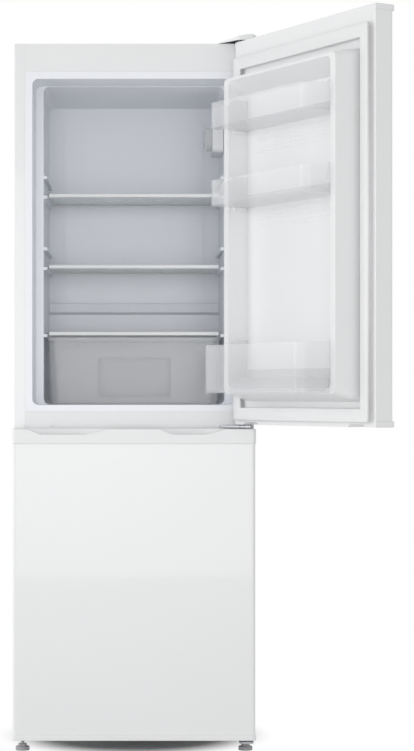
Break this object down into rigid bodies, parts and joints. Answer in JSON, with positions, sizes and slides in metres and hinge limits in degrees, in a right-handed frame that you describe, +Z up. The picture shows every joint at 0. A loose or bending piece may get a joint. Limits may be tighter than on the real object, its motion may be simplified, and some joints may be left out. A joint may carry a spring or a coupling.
{
  "type": "bottom freezer refrigerator",
  "caption": "Free-standing white refrigerator over a freezer, both doors hung on the right, with shelves, a crisper, door balconies and freezer drawers.",
  "frame": {"origin": "on the floor, under the middle of the whole with the refrigerator door open as in the rest pose", "axes": "+X to the right across the front, +Y from the front to the back, +Z up"},
  "size_m": [0.8071, 1.0248, 1.6272],
  "materials": {
    "white_paint": "gloss",
    "white_plastic": "satin",
    "liner_plastic": "gloss",
    "insulation": "matte",
    "galvanised_steel": "satin",
    "hinge_steel": "satin",
    "black_paint": "satin",
    "clear_plastic": "gloss",
    "shelf_glass": "polished",
    "seal_rubber": "matte",
    "grey_nylon": "matte",
    "dark_rubber": "matte",
    "foot_plastic": "matte",
    "copper": "satin",
    "evaporator_aluminium": "satin",
    "lamp_glass": "polished"
  },
  "bodies": {
    "cabinet": {"side_panel_left": "white_paint", "side_panel_right": "white_paint", "top_panel": "white_plastic", "back_panel": "galvanised_steel", "fridge_liner": "liner_plastic", "freezer_liner": "liner_plastic", "insulation_foam": "insulation", "crossbar": "white_paint", "base_frame": "galvanised_steel", "roller_axles": "galvanised_steel", "middle_hinge": "hinge_steel", "bottom_hinge": "hinge_steel", "top_hinge": "hinge_steel", "hinge_cover": "white_plastic", "hinge_screws": "hinge_steel", "crossbar_plug": "white_plastic", "shelf_glass_upper": "shelf_glass", "shelf_glass_lower": "shelf_glass", "crisper_cover_glass": "shelf_glass", "shelf_trims_upper": "white_plastic", "shelf_trims_lower": "white_plastic", "crisper_cover_trims": "white_plastic", "thermostat_housing": "white_plastic", "lamp_lens": "clear_plastic", "lamp": "lamp_glass", "lamp_switch_socket": "white_plastic", "freezer_evaporator": "evaporator_aluminium", "compressor": "black_paint", "compressor_grommets": "dark_rubber", "starter_box": "foot_plastic", "drip_tray": "grey_nylon", "condenser": "black_paint", "refrigerant_pipes": "copper"},
    "fridge_door": {"fridge_door_skin": "white_paint", "fridge_door_cap_top": "white_plastic", "fridge_door_cap_bottom": "white_plastic", "fridge_door_liner": "liner_plastic", "fridge_door_foam": "insulation", "fridge_door_gasket": "seal_rubber", "fridge_door_bushes": "grey_nylon", "balcony_upper": "clear_plastic", "balcony_middle": "clear_plastic", "bottle_rack": "clear_plastic"},
    "freezer_door": {"freezer_door_skin": "white_paint", "freezer_door_cap_top": "white_plastic", "freezer_door_cap_bottom": "white_plastic", "freezer_door_liner": "liner_plastic", "freezer_door_foam": "insulation", "freezer_door_gasket": "seal_rubber", "freezer_door_bushes": "grey_nylon"},
    "crisper": {"crisper_drawer": "clear_plastic"},
    "dial": {"thermostat_knob": "white_plastic"},
    "lamp_button": {"lamp_switch_button": "white_plastic"},
    "left_foot": {"foot_left": "foot_plastic"},
    "right_foot": {"foot_right": "foot_plastic"},
    "left_roller": {"roller_left": "grey_nylon"},
    "right_roller": {"roller_right": "grey_nylon"},
    "top_drawer": {"freezer_drawer_top": "clear_plastic"},
    "middle_drawer": {"freezer_drawer_middle": "clear_plastic"},
    "bottom_drawer": {"freezer_drawer_bottom": "clear_plastic"}
  },
  "joints": [
    {"name": "fridge_door_hinge", "type": "hinge", "parent": "cabinet", "child": "fridge_door", "pos_m": [0.12793, -0.03524, 1.17875], "axis": [0, 0, 1], "range_deg": [-118.5, 16.5]},
    {"name": "freezer_door_hinge", "type": "hinge", "parent": "cabinet", "child": "freezer_door", "pos_m": [0.12793, -0.03524, 0.386], "axis": [0, 0, 1], "range_deg": [0, 135]},
    {"name": "crisper_slide", "type": "slide", "parent": "cabinet", "child": "crisper", "axis": [0, -1, 0], "range_m": [0, 0.22]},
    {"name": "top_drawer_slide", "type": "slide", "parent": "cabinet", "child": "top_drawer", "axis": [0, -1, 0], "range_m": [0, 0.18]},
    {"name": "middle_drawer_slide", "type": "slide", "parent": "cabinet", "child": "middle_drawer", "axis": [0, -1, 0], "range_m": [0, 0.18]},
    {"name": "bottom_drawer_slide", "type": "slide", "parent": "cabinet", "child": "bottom_drawer", "axis": [0, -1, 0], "range_m": [0, 0.18]},
    {"name": "thermostat_turn", "type": "hinge", "parent": "cabinet", "child": "dial", "pos_m": [0.05693, 0.26576, 1.418], "axis": [1, 0, 0], "range_deg": [-135, 135]},
    {"name": "lamp_button_slide", "type": "slide", "parent": "cabinet", "child": "lamp_button", "axis": [1, 0, 0], "range_m": [-0.001, 0.0042], "stiffness_N_per_m": 100, "springref_m": -0.001},
    {"name": "left_foot_turn", "type": "hinge", "parent": "cabinet", "child": "left_foot", "pos_m": [-0.38406, 0.02726, 0.02], "axis": [0, 0, 1], "continuous": true},
    {"name": "right_foot_turn", "type": "hinge", "parent": "cabinet", "child": "right_foot", "pos_m": [0.12693, 0.02726, 0.02], "axis": [0, 0, 1], "continuous": true},
    {"name": "left_roller_turn", "type": "hinge", "parent": "cabinet", "child": "left_roller", "pos_m": [-0.35407, 0.46926, 0.017], "axis": [1, 0, 0], "continuous": true},
    {"name": "right_roller_turn", "type": "hinge", "parent": "cabinet", "child": "right_roller", "pos_m": [0.09693, 0.46926, 0.017], "axis": [1, 0, 0], "continuous": true}
  ],
  "couplings": [
    {"joint": "top_drawer_slide", "follows": "freezer_door_hinge", "m_per_rad": 0.075},
    {"joint": "middle_drawer_slide", "follows": "freezer_door_hinge", "m_per_rad": 0.075},
    {"joint": "bottom_drawer_slide", "follows": "freezer_door_hinge", "m_per_rad": 0.075},
    {"joint": "lamp_button_slide", "follows": "fridge_door_hinge", "m_per_rad": -0.001934}
  ]
}
